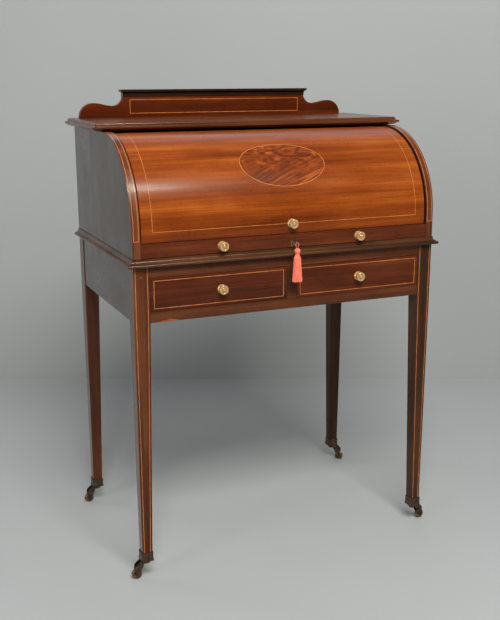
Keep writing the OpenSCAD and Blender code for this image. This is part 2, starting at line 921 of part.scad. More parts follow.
// Fork with two cheeks, trailing along +X from the swivel, with its riveted axle
module horn() {
    cheek_out = cheek_in + cheek_t;
    rivet_t = 1.2;
    difference() {
        union() {
            translate([0, 0, horn_z]) cylinder(h = horn_t, r = 9);
            block([0, -cheek_out, horn_z], [16, cheek_out, horn_top_z]);
        }
        translate([0, 0, horn_z - 1]) cylinder(h = horn_t + 2, r = stem_r + run_gap);
    }
    for (y0 = [-cheek_out, cheek_in]) xz_plate(y0, cheek_t) union() {
        polygon([
            [6, horn_z + 1], [6, horn_top_z], [16, horn_top_z], [trail + 3.5, horn_top_z - 10],
            [trail + 5, wheel_r + 1], [trail - 4.6, wheel_r - 2]
        ]);
        translate([trail, wheel_r]) circle(5);
    }
    translate([trail, cheek_out + rivet_t, wheel_r]) rotate([90, 0, 0])
        cylinder(h = 2 * (cheek_out + rivet_t), r = axle_r);
    for (y1 = [-cheek_out, cheek_out + rivet_t])
        translate([trail, y1, wheel_r]) rotate([90, 0, 0]) cylinder(h = rivet_t, r = 3.4);
}

module wheel() {
    translate([trail, wheel_w / 2, wheel_r]) rotate([90, 0, 0]) rotate_extrude() polygon([
        [axle_r + run_gap, 0], [5, 0], [5.4, 1], [9, 1], [9.4, 0], [wheel_r - 1.5, 0], [wheel_r, 1.5],
        [wheel_r, wheel_w - 1.5], [wheel_r - 1.5, wheel_w], [9.4, wheel_w], [9, wheel_w - 1],
        [5.4, wheel_w - 1], [5, wheel_w], [axle_r + run_gap, wheel_w]
    ]);
}

module horn_at(side, at_back, angle) {
    color(bronze) at_foot(side, at_back) rotate([0, 0, angle]) horn();
}

module wheel_at(side, at_back, angle) {
    color(bronze) at_foot(side, at_back) rotate([0, 0, angle]) wheel();
}

module horn_front_left() { horn_at(-1, false, trail_angles[0]); }
module horn_front_right() { horn_at(1, false, trail_angles[1]); }
module horn_back_left() { horn_at(-1, true, trail_angles[2]); }
module horn_back_right() { horn_at(1, true, trail_angles[3]); }
module wheel_front_left() { wheel_at(-1, false, trail_angles[0]); }
module wheel_front_right() { wheel_at(1, false, trail_angles[1]); }
module wheel_back_left() { wheel_at(-1, true, trail_angles[2]); }
module wheel_back_right() { wheel_at(1, true, trail_angles[3]); }

leg_front_left();
leg_front_right();
leg_back_left();
leg_back_right();
side_apron_left();
side_apron_right();
back_apron();
drawer_top_rail();
drawer_bottom_rail();
drawer_divider();
drawer_runners();
carcase_floor();
waist_moulding();
side_panel_left();
side_panel_right();
back_panel();
back_panel_screws();
top_board();
gallery_board();
gallery_cornice();
slide_bearers();
pivot_pins();
caster_cups();
fitment_floor();
fitment_uprights();
fitment_top();
fitment_shelf();
fitment_back();
cylinder_fall();
cylinder_quadrants();
cylinder_knob();
strike_plate();
slide_front();
slide_board();
slide_leather();
slide_knobs();
lock_case();
escutcheon();
lock_bolt();
key();
tassel_cord();
tassel();
drawer_left_front();
drawer_left_box();
drawer_left_bottom();
drawer_left_knob();
drawer_right_front();
drawer_right_box();
drawer_right_bottom();
drawer_right_knob();
inner_drawer_left();
inner_drawer_right();
horn_front_left();
horn_front_right();
horn_back_left();
horn_back_right();
wheel_front_left();
wheel_front_right();
wheel_back_left();
wheel_back_right();
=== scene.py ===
"""Looks of a cylinder roll top desk: polished mahogany, inlaid stringing, brass knobs, and a
key with its tassel."""

import json
import math
import random

import bpy
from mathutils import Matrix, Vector


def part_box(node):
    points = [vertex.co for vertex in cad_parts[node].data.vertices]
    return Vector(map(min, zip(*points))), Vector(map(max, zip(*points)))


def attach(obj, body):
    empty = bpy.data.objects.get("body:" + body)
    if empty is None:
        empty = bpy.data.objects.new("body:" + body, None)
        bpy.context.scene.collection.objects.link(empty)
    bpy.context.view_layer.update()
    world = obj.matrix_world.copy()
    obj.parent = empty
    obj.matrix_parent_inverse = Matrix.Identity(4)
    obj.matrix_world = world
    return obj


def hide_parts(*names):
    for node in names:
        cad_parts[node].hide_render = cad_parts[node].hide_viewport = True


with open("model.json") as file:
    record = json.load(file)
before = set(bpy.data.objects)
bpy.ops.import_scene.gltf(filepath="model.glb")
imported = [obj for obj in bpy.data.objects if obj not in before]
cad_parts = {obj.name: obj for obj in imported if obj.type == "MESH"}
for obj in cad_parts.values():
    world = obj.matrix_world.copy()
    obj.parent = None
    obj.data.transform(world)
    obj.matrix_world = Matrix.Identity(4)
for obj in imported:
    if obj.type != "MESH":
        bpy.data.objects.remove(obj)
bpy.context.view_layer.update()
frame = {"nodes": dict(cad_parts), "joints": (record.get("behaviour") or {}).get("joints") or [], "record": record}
NODES = frame["nodes"]
JOINTS = {j["name"]: j for j in frame["joints"]}
MM = 0.001

# ---- places worked out from the frame ----

pivot = Vector(JOINTS["cylinder_roll"]["pos_m"])
front_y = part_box("carcase_floor")[0].y
case_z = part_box("carcase_floor")[1].z
rail_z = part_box("drawer_bottom_rail")[0].z
fall_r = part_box("cylinder_fall")[1].z - pivot.z
arch_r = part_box("side_panel_left")[1].z - pivot.z
key_z = JOINTS["key_turn"]["pos_m"][2]
# The top of the tassel's head hangs this far in front of the desk and below the key
TASSEL_OUT = 27.5 * MM
TASSEL_DROP = 9 * MM
tassel_at = Vector((0, front_y - TASSEL_OUT, key_z - TASSEL_DROP))

STRING_W = 1.2 * MM
STRING_PROUD = 0.12 * MM
STRING_SINK = 0.4 * MM
EDGE_BEVEL = 0.7 * MM
HORN_BEVEL = 0.3 * MM
WELD_REACH = 0.002 * MM
BEVEL_FROM = math.radians(40)
SHARP_FROM = math.radians(35)
OUTER_TAPER = 2.5 * MM
FOOT_W = 23.6 * MM
CORD_D = 1.2 * MM
BINDING_R = 0.42 * MM
SKIRT_THREAD_R = 0.48 * MM


# ---- camera ----

CAMERA_AT = (-0.9452, -2.1773, 1.153)
CAMERA_TILT = math.radians(75.963)
CAMERA_TURN = math.radians(-23.814)
CAMERA_LENS = 55.46
CAMERA_SHIFT = -0.0134


def make_camera():
    """The camera stands to the left of the desk, a little above its top, and looks down at it."""
    data = bpy.data.cameras.new("camera")
    data.sensor_fit = "AUTO"
    data.sensor_width = 36
    data.lens = CAMERA_LENS
    data.shift_x = CAMERA_SHIFT
    cam = bpy.data.objects.new("camera", data)
    cam.location = CAMERA_AT
    cam.rotation_euler = (CAMERA_TILT, 0, CAMERA_TURN)
    bpy.context.scene.collection.objects.link(cam)
    bpy.context.scene.camera = cam


# ---- mesh helpers ----

def mesh_piece(name, verts, faces, mat, body, smooth=False):
    """A mesh made of these points and faces, painted, and riding on a CAD body."""
    mesh = bpy.data.meshes.new(name)
    mesh.from_pydata([tuple(v) for v in verts], [], faces)
    mesh.validate()
    mesh.polygons.foreach_set("use_smooth", [smooth] * len(mesh.polygons))
    mesh.materials.append(mat)
    obj = bpy.data.objects.new(name, mesh)
    bpy.context.scene.collection.objects.link(obj)
    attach(obj, body)
    return obj


def curve_piece(name, lines, radius, mat, body):
    """Round threads that follow lists of points, as one curve object."""
    data = bpy.data.curves.new(name, "CURVE")
    data.dimensions = "3D"
    data.bevel_depth = radius
    data.bevel_resolution = 2
    data.use_fill_caps = True
    for line in lines:
        spline = data.splines.new("POLY")
        spline.points.add(len(line) - 1)
        for point, at in zip(spline.points, line):
            point.co = (*at, 1)
    data.materials.append(mat)
    obj = bpy.data.objects.new(name, data)
    bpy.context.scene.collection.objects.link(obj)
    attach(obj, body)
    return obj


def between(a, b, steps):
    """Evenly spaced points from a up to but not including b."""
    return [tuple(a[k] + (b[k] - a[k]) * i / steps for k in range(2)) for i in range(steps)]


def band(outer, inner, place, closed=True):
    """Points and faces of a thin band let into a surface, between two lines drawn on it."""
    n = len(outer)
    verts = []
    for lift in (STRING_PROUD, -STRING_SINK):
        verts += [place(u, v, lift) for u, v in outer]
        verts += [place(u, v, lift) for u, v in inner]
    faces = []
    for i in range(n if closed else n - 1):
        j = (i + 1) % n
        faces += [
            (i, j, n + j, n + i),
            (3 * n + i, 3 * n + j, 2 * n + j, 2 * n + i),
            (2 * n + i, 2 * n + j, j, i),
            (n + i, n + j, 3 * n + j, 3 * n + i),
        ]
    if not closed:
        faces += [(0, n, 3 * n, 2 * n), (n - 1, 3 * n - 1, 4 * n - 1, 2 * n - 1)]
    return verts, faces


def rectangle(u0, v0, u1, v1, steps):
    corners = [(u0, v0), (u1, v0), (u1, v1), (u0, v1)]
    return [p for i in range(4) for p in between(corners[i], corners[(i + 1) % 4], steps)]


def frame_band(u0, v0, u1, v1, place, steps=1, width_v=STRING_W):
    """A rectangle of stringing. width_v is the line's width in the units of v."""
    outer = rectangle(u0, v0, u1, v1, steps)
    inner = rectangle(u0 + STRING_W, v0 + width_v, u1 - STRING_W, v1 - width_v, steps)
    return band(outer, inner, place)


def on_plane(y):
    """Places a point given as (x, z) on an upright plane that faces the front."""
    return lambda x, z, lift: (x, y - lift, z)


def on_fall(x, angle, lift):
    r = fall_r + lift
    return (x, pivot.y - r * math.cos(angle), pivot.z + r * math.sin(angle))


def on_arch_edge(x, along, lift):
    """along is the distance up the front edge from the arch centre's height, then round the arch."""
    if along < 0:
        return (x, front_y - lift, pivot.z + along)
    angle = along / arch_r
    r = arch_r + lift
    return (x, pivot.y - r * math.cos(angle), pivot.z + r * math.sin(angle))


# ---- material helpers ----

def new_material(name):
    mat = bpy.data.materials.new(name)
    mat.use_nodes = True
    return mat, mat.node_tree, mat.node_tree.nodes["Principled BSDF"]


def add(tree, kind, inputs=None, **settings):
    """A shader node with its settings, and its inputs set or linked."""
    made = tree.nodes.new("ShaderNode" + kind)
    for key, value in settings.items():
        setattr(made, key, value)
    for key, value in (inputs or {}).items():
        if isinstance(value, bpy.types.NodeSocket):
            tree.links.new(value, made.inputs[key])
        else:
            made.inputs[key].default_value = value
    return made


def noise(tree, vector, scale, detail=3, rough=0.55, distort=0.0):
    """Noise stretched by a scale for each axis."""
    mapped = add(tree, "Mapping", {"Vector": vector, "Scale": scale})
    settings = {
        "Vector": mapped.outputs[0],
        "Scale": 1,
        "Detail": detail,
        "Roughness": rough,
        "Distortion": distort,
    }
    return add(tree, "TexNoise", settings).outputs["Fac"]


def ramp(tree, factor, stops):
    """A colour ramp from a list of (position, colour)."""
    made = add(tree, "ValToRGB", {"Fac": factor})
    elements = made.color_ramp.elements
    while len(elements) < len(stops):
        elements.new(0.5)
    for element, (at, colour) in zip(elements, stops):
        element.position = at
        element.color = (*colour, 1)
    return made.outputs["Color"]


def grey_ramp(tree, factor, low, high, at_low=0.0, at_high=1.0):
    return ramp(tree, factor, [(low, (at_low,) * 3), (high, (at_high,) * 3)])


def math_node(tree, operation, a, b=0.0):
    return add(tree, "Math", {0: a, 1: b}, operation=operation).outputs[0]


def mix(tree, factor, a, b, blend="MIX"):
    made = add(tree, "Mix", {0: factor, 6: a, 7: b}, data_type="RGBA", blend_type=blend)
    return made.outputs[2]


def grain_vector(tree, grain, wrapped, seed):
    """Object coordinates with X along the grain. A wrapped surface is unrolled about the pivot first."""
    coords = add(tree, "TexCoord").outputs["Object"]
    split = add(tree, "SeparateXYZ", {0: coords})
    parts = dict(zip("XYZ", split.outputs))
    if wrapped:
        up = math_node(tree, "SUBTRACT", parts["Z"], pivot.z)
        forward = math_node(tree, "SUBTRACT", pivot.y, parts["Y"])
        angle = math_node(tree, "ARCTAN2", up, forward)
        parts["Y"] = math_node(tree, "MULTIPLY", angle, fall_r)
        parts["Z"] = 0.0
    others = [a for a in "XYZ" if a != grain]
    order = {0: parts[grain], 1: parts[others[0]], 2: parts[others[1]]}
    joined = add(tree, "CombineXYZ", order).outputs[0]
    drift = random.Random(seed)
    offset = [drift.uniform(-9, 9) for _ in range(3)]
    return add(tree, "Mapping", {"Vector": joined, "Location": offset}).outputs[0]


# ---- materials ----

# Share of the polish that is left on a face that looks to the front or up
FRONT_POLISH = 0.12
COAT_ROUGHNESS = 0.16
BRASS_BRIGHT = (0.8, 0.5, 0.24)
BRASS_DULL = (0.4, 0.21, 0.08)
# Share of the bare metal that shows through the film of old polish on the brass
BRASS_BARE = 0.55


def wood(
    name, dark, mid, light, grain="X", wrapped=False, seed=0,
    polish=0.8, rough=0.3, shine=0.15, rubbed=FRONT_POLISH, facing=None,
):
    """Straight-grained mahogany: broad bands, fine lines, dark pores, and polish that is
    full on the sides and rubbed dull on the fronts. facing holds the tones of the front
    edge where they differ from those of the side. The side panels' own tones are painted
    darker and greyer than their front edge, a painted reflection of the grey room in their polish."""
    mat, tree, shader = new_material(name)
    along = grain_vector(tree, grain, wrapped, seed)
    bands = noise(tree, along, (1.6, 26, 26), 3)
    lines = noise(tree, along, (3.5, 300, 300), 4, 0.7, 0.3)
    pores = noise(tree, along, (70, 2600, 2600), 2)
    mottle = noise(tree, along, (9, 12, 12), 4)
    weighted = math_node(tree, "MULTIPLY", bands, 0.55)
    fine = math_node(tree, "MULTIPLY", lines, 0.3)
    patchy = math_node(tree, "MULTIPLY", mottle, 0.15)
    tone = math_node(tree, "ADD", math_node(tree, "ADD", weighted, fine), patchy)
    normal = add(tree, "NewGeometry").outputs["Normal"]
    sideways = math_node(tree, "ABSOLUTE", add(tree, "SeparateXYZ", {0: normal}).outputs[0])
    colour = ramp(tree, tone, [(0.36, dark), (0.5, mid), (0.64, light)])
    # Painted reflection: faces that look sideways take the node's tones, which on the side panels are painted
    # darker and greyer; faces that look forward take the facing tones
    if facing:
        edge_colour = ramp(tree, tone, [(0.36, facing[0]), (0.5, facing[1]), (0.64, facing[2])])
        colour = mix(tree, grey_ramp(tree, sideways, 0.45, 0.7, 0.0, 1.0), edge_colour, colour)
    pore_mask = grey_ramp(tree, pores, 0.34, 0.46, 0.62, 1.0)
    colour = mix(tree, 1.0, colour, pore_mask, "MULTIPLY")
    tree.links.new(colour, shader.inputs["Base Color"])
    sheen = grey_ramp(tree, mottle, 0.3, 0.75, rough - 0.06, rough + 0.12)
    tree.links.new(sheen, shader.inputs["Roughness"])
    if polish:
        coat = grey_ramp(tree, sideways, 0.3, 0.9, polish * rubbed, polish)
        tree.links.new(coat, shader.inputs["Coat Weight"])
    shader.inputs["Specular IOR Level"].default_value = shine
    shader.inputs["Coat Roughness"].default_value = COAT_ROUGHNESS
    bump = add(tree, "Bump", {"Height": pore_mask, "Strength": 0.12, "Distance": 0.0001})
    tree.links.new(bump.outputs[0], shader.inputs["Normal"])
    return mat


def flame_veneer():
    """Dark flame mahogany of the oval: curls above, and paler streaks that sweep up to the right below."""
    mat, tree, shader = new_material("flame_veneer")
    along = grain_vector(tree, "X", True, 11)
    turned = add(tree, "Mapping", {"Vector": along, "Rotation": (0, 0, math.radians(-24))}).outputs[0]
    sweep = noise(tree, turned, (7, 95, 1), 5, 0.7, 1.1)
    curls = noise(tree, along, (17, 38, 1), 5, 0.68, 2.6)
    coords = add(tree, "TexCoord").outputs["Object"]
    height = add(tree, "SeparateXYZ", {0: coords}).outputs[2]
    settings = {"Value": height, "From Min": pivot.z + 0.1, "From Max": pivot.z + 0.155}
    upper = add(tree, "MapRange", settings).outputs[0]
    figure = mix(tree, upper, sweep, curls)
    stops = [
        (0.36, (0.06, 0.012, 0.003)),
        (0.47, (0.14, 0.026, 0.005)),
        (0.56, (0.23, 0.045, 0.007)),
        (0.68, (0.36, 0.085, 0.014)),
    ]
    tree.links.new(ramp(tree, figure, stops), shader.inputs["Base Color"])
    shader.inputs["Roughness"].default_value = 0.32
    shader.inputs["Specular IOR Level"].default_value = 0.15
    shader.inputs["Coat Weight"].default_value = 0.08
    shader.inputs["Coat Roughness"].default_value = COAT_ROUGHNESS
    return mat


def stringing():
    """Boxwood line, gone orange under old polish."""
    mat, tree, shader = new_material("boxwood_stringing")
    coords = add(tree, "TexCoord").outputs["Object"]
    tone = noise(tree, coords, (60, 60, 60), 3)
    stops = [(0.3, (0.43, 0.115, 0.025)), (0.7, (0.66, 0.22, 0.055))]
    tree.links.new(ramp(tree, tone, stops), shader.inputs["Base Color"])
    shader.inputs["Roughness"].default_value = 0.35
    shader.inputs["Specular IOR Level"].default_value = 0.15
    shader.inputs["Coat Weight"].default_value = 0.08
    return mat


def metal(name, bright, dull, rough_low, rough_high, patina=0.5, bare=1.0):
    """Old metal: tone and roughness vary with a fine and a coarse tarnish. bare is the
    share of metal that shows through the film of old polish."""
    mat, tree, shader = new_material(name)
    coords = add(tree, "TexCoord").outputs["Object"]
    coarse = noise(tree, coords, (180, 180, 180), 4, 0.6)
    fine = noise(tree, coords, (1400, 1400, 1400), 3, 0.6)
    broad = math_node(tree, "MULTIPLY", coarse, 0.7)
    specks = math_node(tree, "MULTIPLY", fine, 0.3)
    tarnish = math_node(tree, "ADD", broad, specks)
    colour = ramp(tree, tarnish, [(patina - 0.15, dull), (patina + 0.12, bright)])
    tree.links.new(colour, shader.inputs["Base Color"])
    rough = grey_ramp(tree, tarnish, 0.35, 0.65, rough_high, rough_low)
    tree.links.new(rough, shader.inputs["Roughness"])
    shader.inputs["Metallic"].default_value = bare
    bump = add(tree, "Bump", {"Height": fine, "Strength": 0.1, "Distance": 0.0001})
    tree.links.new(bump.outputs[0], shader.inputs["Normal"])
    return mat


def leather():
    mat, tree, shader = new_material("green_leather")
    coords = add(tree, "TexCoord").outputs["Object"]
    tone = noise(tree, coords, (12, 12, 12), 4)
    stops = [(0.3, (0.02, 0.05, 0.022)), (0.7, (0.05, 0.1, 0.045))]
    tree.links.new(ramp(tree, tone, stops), shader.inputs["Base Color"])
    cells = add(tree, "TexVoronoi", {"Vector": coords, "Scale": 900}, feature="DISTANCE_TO_EDGE")
    bump = add(tree, "Bump", {"Height": cells.outputs["Distance"], "Strength": 0.5, "Distance": 0.0003})
    tree.links.new(bump.outputs[0], shader.inputs["Normal"])
    shader.inputs["Roughness"].default_value = 0.5
    return mat


def thread():
    """Glossy viscose thread, coral pink."""
    mat, tree, shader = new_material("coral_thread")
    coords = add(tree, "TexCoord").outputs["Object"]
    tone = noise(tree, coords, (1500, 1500, 60), 3)
    stops = [(0.32, (0.66, 0.085, 0.04)), (0.68, (1.0, 0.27, 0.17))]
    tree.links.new(ramp(tree, tone, stops), shader.inputs["Base Color"])
    shader.inputs["Roughness"].default_value = 0.42
    shader.inputs["Sheen Weight"].default_value = 0.3
    return mat


CASE_TONES = ((0.035, 0.01, 0.004), (0.085, 0.024, 0.008), (0.16, 0.05, 0.016))
DARK_TONES = ((0.016, 0.008, 0.005), (0.034, 0.015, 0.008), (0.06, 0.025, 0.012))
FALL_TONES = ((0.115, 0.019, 0.0017), (0.236, 0.045, 0.0038), (0.4, 0.1, 0.011))
DRAWER_TONES = ((0.03, 0.007, 0.002), (0.076, 0.015, 0.004), (0.14, 0.032, 0.009))
SLIDE_TONES = ((0.045, 0.01, 0.003), (0.11, 0.024, 0.007), (0.2, 0.05, 0.014))
GALLERY_TONES = ((0.04, 0.007, 0.0012), (0.09, 0.014, 0.002), (0.17, 0.034, 0.006))
# Dark mahogany for the side panels and side aprons, painted greyer and flatter as a painted reflection of the grey
# room in their polish
SIDE_TONES_WITH_PAINTED_REFLECTION = ((0.03, 0.013, 0.008), (0.043, 0.018, 0.01), (0.058, 0.024, 0.013))
# Painted shade: darker tones for the two right legs, which are seen in the desk's shade
SHADED_TONES = ((0.02, 0.009, 0.005), (0.045, 0.018, 0.008), (0.08, 0.032, 0.014))
ARCH_TONES = ((0.045, 0.012, 0.004), (0.11, 0.03, 0.009), (0.19, 0.06, 0.018))
MOULDING_TONES = ((0.022, 0.008, 0.003), (0.055, 0.019, 0.006), (0.12, 0.042, 0.013))
TOP_TONES = ((0.036, 0.01, 0.003), (0.093, 0.026, 0.0075), (0.17, 0.052, 0.015))
# Painted shade: near black for the gallery cornice, standing for the shade and dark reflection in its cove
CORNICE_PAINTED_SHADE_TONES = ((0.009, 0.004, 0.0022), (0.021, 0.009, 0.0045), (0.042, 0.018, 0.008))
# Painted light: the back panel and back apron are painted lighter than the case, so that the dimly lit back reads
# brighter
BACK_TONES_WITH_PAINTED_LIGHT = ((0.05, 0.022, 0.01), (0.1, 0.043, 0.018), (0.165, 0.075, 0.033))
PINE_TONES = ((0.3, 0.16, 0.07), (0.45, 0.27, 0.13), (0.58, 0.38, 0.2))
BARE = {"polish": 0.0, "rough": 0.55}

# Which tones each slot has
SLOT_TONES = {
    "mahogany": CASE_TONES,
    "dark_mahogany": DARK_TONES,
    "cylinder_mahogany": FALL_TONES,
    "drawer_mahogany": DRAWER_TONES,
    "pine": PINE_TONES,
}
# Boards that are darker, redder, lighter or plainer than the rest of their slot; the tones of the side panels and
# aprons, back, cornice and right legs carry painted light, shade or reflection
NODE_TONES = {
    "slide_front": SLIDE_TONES,
    "gallery_board": GALLERY_TONES,
    "gallery_cornice": CORNICE_PAINTED_SHADE_TONES,
    "waist_moulding": MOULDING_TONES,
    "back_panel": BACK_TONES_WITH_PAINTED_LIGHT,
    "back_apron": BACK_TONES_WITH_PAINTED_LIGHT,
    "top_board": TOP_TONES,
    "side_panel_left": SIDE_TONES_WITH_PAINTED_REFLECTION,
    "side_panel_right": SIDE_TONES_WITH_PAINTED_REFLECTION,
    "side_apron_left": SIDE_TONES_WITH_PAINTED_REFLECTION,
    "side_apron_right": SIDE_TONES_WITH_PAINTED_REFLECTION,
    "leg_front_right": SHADED_TONES,
    "leg_back_right": SHADED_TONES,
}
# Boards with more or less polish than the rest
THIN = {"polish": 0.1}
FULL = {"polish": 0.68, "shine": 0.4}
# Side panels: the front edge keeps the arch tones, the sides take the darker, greyer tones of the painted
# reflection
PANEL = {"polish": 0.68, "shine": 0.4, "facing": ARCH_TONES}
FINISHES = {
    "leg_front_right": THIN,
    "leg_back_right": THIN,
    "gallery_board": THIN,
    "top_board": {"polish": 0.8, "shine": 0.1, "rubbed": 0.5},
    "waist_moulding": {"polish": 0.6, "shine": 0.25, "rubbed": 0.4},
    "side_panel_left": PANEL,
    "side_panel_right": PANEL,
    "side_apron_left": FULL,
    "side_apron_right": FULL,
}
# Boards whose grain doesn't run from side to side
UPRIGHT_GRAIN = ("leg_", "side_panel", "fitment_uprights", "back_panel")
DEEP_GRAIN = ("side_apron", "drawer_runners", "slide_bearers", "drawer_left_box", "drawer_right_box")


def grain_of(node):
    if node.startswith(UPRIGHT_GRAIN):
        return "Z"
    if node.startswith(DEEP_GRAIN):
        return "Y"
    return "X"


def paint_cad_nodes(metals, hide, coral):
    """Gives every CAD node its finish, and rounds the edges of the wooden ones."""
    slots = {s["node"]: s["material_slot"] for s in frame["record"]["subparts"]}
    shading = plain_shading()
    for seed, node in enumerate(sorted(NODES)):
        obj = NODES[node]
        slot = slots[node]
        if slot in SLOT_TONES:
            finish = BARE if slot == "pine" else FINISHES.get(node, {})
            wrapped = node == "cylinder_fall"
            tones = NODE_TONES.get(node, SLOT_TONES[slot])
            mat = wood(f"wood_{node}", *tones, grain_of(node), wrapped, seed, **finish)
        elif slot == "leather":
            mat = hide
        elif slot == "coral_thread":
            mat = coral
        else:
            mat = metals[slot]
        obj.material_slots[0].material = mat
        if node.startswith("inner_drawer"):
            brass_knob(mat)
        width = HORN_BEVEL if node.startswith("horn") else EDGE_BEVEL
        soften(obj, shading, slot in SLOT_TONES, width)


def brass_knob(mat):
    """The small knob is a second solid of the drawer's node, so its brass starts in front
    of the drawer's face."""
    tree = mat.node_tree
    shader = tree.nodes["Principled BSDF"]
    coords = add(tree, "TexCoord").outputs["Object"]
    depth = add(tree, "SeparateXYZ", {0: coords}).outputs[1]
    face_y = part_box("fitment_floor")[0].y
    clear_of_face = 0.05 * MM
    at_knob = math_node(tree, "LESS_THAN", depth, face_y - clear_of_face)
    tarnish = noise(tree, coords, (300, 300, 300), 4, 0.6)
    brass = ramp(tree, tarnish, [(0.35, BRASS_DULL), (0.6, BRASS_BRIGHT)])
    rough = grey_ramp(tree, tarnish, 0.35, 0.65, 0.34, 0.2)
    for name, over in (("Base Color", brass), ("Roughness", rough)):
        socket = shader.inputs[name]
        tree.links.new(mix(tree, at_knob, socket.links[0].from_socket, over), socket)
    tree.links.new(math_node(tree, "MULTIPLY", at_knob, BRASS_BARE), shader.inputs["Metallic"])


def plain_shading():
    """Modifier nodes that shade a mesh smooth all over, so that the edge split decides
    which edges stay sharp."""
    tree = bpy.data.node_groups.new("plain_shading", "GeometryNodeTree")
    for way in ("INPUT", "OUTPUT"):
        tree.interface.new_socket("Geometry", in_out=way, socket_type="NodeSocketGeometry")
    start = tree.nodes.new("NodeGroupInput")
    bare = tree.nodes.new("GeometryNodeRemoveAttribute")
    bare.inputs["Name"].default_value = "custom_normal"
    smooth = tree.nodes.new("GeometryNodeSetShadeSmooth")
    end = tree.nodes.new("NodeGroupOutput")
    tree.links.new(start.outputs[0], bare.inputs[0])
    tree.links.new(bare.outputs[0], smooth.inputs[0])
    tree.links.new(smooth.outputs[0], end.inputs[0])
    return tree


def soften(obj, shading, rounded, width):
    """Rounds a node's edges if asked and smooths its shading, all in modifiers."""
    obj.modifiers.new("shading", "NODES").node_group = shading
    weld = obj.modifiers.new("weld", "WELD")
    weld.merge_threshold = WELD_REACH
    if rounded:
        bevel = obj.modifiers.new("bevel", "BEVEL")
        bevel.width = width
        bevel.segments = 2
        bevel.limit_method = "ANGLE"
        bevel.angle_limit = BEVEL_FROM
        bevel.use_clamp_overlap = True
    split = obj.modifiers.new("split", "EDGE_SPLIT")
    split.split_angle = SHARP_FROM
    weighted = obj.modifiers.new("weighted", "WEIGHTED_NORMAL")
    weighted.mode = "FACE_AREA_WITH_ANGLE"
    weighted.keep_sharp = True


# ---- stringing and inlay ----

def leg_edges(z):
    """Outer and inner |x| of a front leg, and its front face's y, at a height."""
    low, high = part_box("leg_front_right")
    foot_z = low.z
    share = max(0.0, (rail_z - z) / (rail_z - foot_z))
    outer = high.x - OUTER_TAPER * share
    inner_foot = high.x - OUTER_TAPER - FOOT_W
    inner_top = -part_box("drawer_bottom_rail")[0].x
    inner = inner_top + (inner_foot - inner_top) * share
    return outer, inner, front_y + OUTER_TAPER * share


def leg_stringing(mat):
    """Two lines down the front of each front leg, that follow its taper."""
    inset = 4.2 * MM
    below_case = 18 * MM
    above_foot = 18.5 * MM
    heights = [case_z - below_case, rail_z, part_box("leg_front_right")[0].z + above_foot]

    def place(x, z, lift):
        return (x, leg_edges(z)[2] - lift, z)

    for side, word in ((-1, "left"), (1, "right")):
        for line, pick, inward in (("outer", 0, -1), ("inner", 1, 1)):
            near = [(side * (leg_edges(z)[pick] + inward * inset), z) for z in heights]
            far = [(x + side * inward * STRING_W, z) for x, z in near]
            verts, faces = band(near, far, place, closed=False)
            mesh_piece(f"string_leg_{word}_{line}", verts, faces, mat, "carcase")


def arch_stringing(mat, dark):
    """Two lines round the front edge of each side panel, joined at the bottom, with a joint
    line below each."""
    outer_x = 376.2 * MM
    inner_x = 364.7 * MM
    half_joint = 0.3 * MM
    low_z = 798 * MM
    low = low_z - pivot.z
    foot = case_z - pivot.z + 1 * MM
    top = arch_r * math.radians(89)
    steps = 60
    heights = [low] + [top * i / steps for i in range(steps + 1)]
    for side, word in ((-1, "left"), (1, "right")):
        for line, x in (("outer", outer_x), ("inner", inner_x)):
            near = [(side * (x - STRING_W / 2), h) for h in heights]
            far = [(side * (x + STRING_W / 2), h) for h in heights]
            verts, faces = band(near, far, on_arch_edge, closed=False)
            mesh_piece(f"string_arch_{word}_{line}", verts, faces, mat, "carcase")
            near = [(side * (x - half_joint), h) for h in (foot, low)]
            far = [(side * (x + half_joint), h) for h in (foot, low)]
            verts, faces = band(near, far, on_arch_edge, closed=False)
            mesh_piece(f"joint_arch_{word}_{line}", verts, faces, dark, "carcase")
        ends = (side * (inner_x + STRING_W / 2), side * (outer_x - STRING_W / 2))
        near = [(x, low) for x in ends]
        far = [(x, low + STRING_W) for x in ends]
        verts, faces = band(near, far, on_arch_edge, closed=False)
        mesh_piece(f"string_arch_{word}_end", verts, faces, mat, "carcase")


def drawer_stringing(mat):
    inset_x = 8 * MM
    inset_z = 5.7 * MM
    for word in ("left", "right"):
        low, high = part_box(f"drawer_{word}_front")
        rect = (low.x + inset_x, low.z + inset_z, high.x - inset_x, high.z - inset_z)
        verts, faces = frame_band(*rect, on_plane(front_y))
        mesh_piece(f"string_drawer_{word}", verts, faces, mat, f"drawer_{word}")


def gallery_stringing(mat):
    face_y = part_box("gallery_board")[0].y
    top_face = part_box("top_board")[1].z
    half = 238.5 * MM
    low = 9 * MM
    high = 44 * MM
    rect = (-half, top_face + low, half, top_face + high)
    verts, faces = frame_band(*rect, on_plane(face_y))
    mesh_piece("string_gallery", verts, faces, mat, "carcase")


def fall_stringing(mat):
    """One large rectangle, whose top is under the top board."""
    half = 333 * MM
    low = math.radians(-0.6)
    high = math.radians(93)
    verts, faces = frame_band(-half, low, half, high, on_fall, 72, STRING_W / fall_r)
    mesh_piece("string_fall", verts, faces, mat, "cylinder", smooth=True)


def ellipse(half_x, half_angle, middle, steps=96):
    turn = [2 * math.pi * i / steps for i in range(steps)]
    return [(half_x * math.cos(t), middle + half_angle * math.sin(t)) for t in turn]


